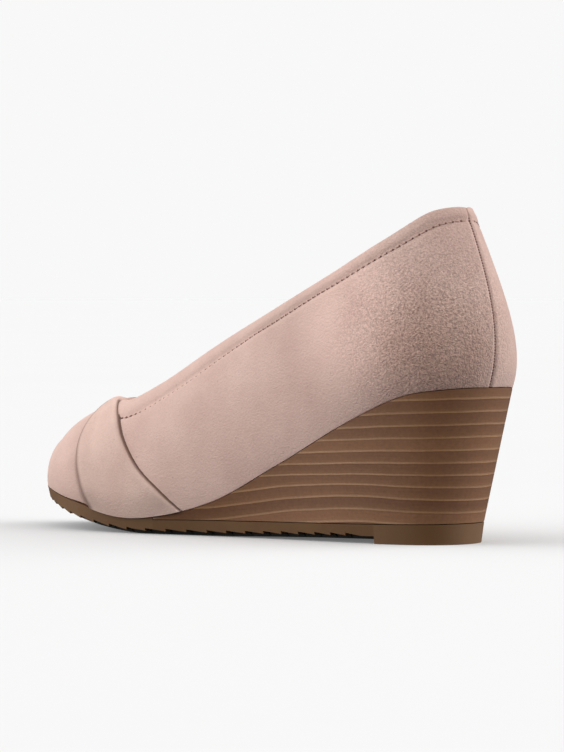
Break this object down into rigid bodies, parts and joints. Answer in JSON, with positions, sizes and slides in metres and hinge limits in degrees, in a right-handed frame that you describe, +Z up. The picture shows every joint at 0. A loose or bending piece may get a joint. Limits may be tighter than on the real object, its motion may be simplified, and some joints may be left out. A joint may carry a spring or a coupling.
{
  "type": "wedge pump",
  "caption": "Left women's wedge pump: round toe, crossed drape over the vamp, low-cut topline, tall stacked wedge and rubber sole with a heel pad.",
  "frame": {"origin": "on the floor, under the middle of the shoe's box", "axes": "+X to the toe, +Y to the outer side of the left foot, +Z up"},
  "size_m": [0.2338, 0.0762, 0.1242],
  "materials": {
    "upper": "soft napped microsuede",
    "lining": "smooth matte lining",
    "wedge": "satin stacked-look cover",
    "outsole": "matte moulded rubber"
  },
  "bodies": {
    "root": {"upper": "upper", "drape_outer": "upper", "drape_inner": "upper", "insole": "lining", "wedge": "wedge", "outsole": "outsole"}
  },
  "joints": []
}
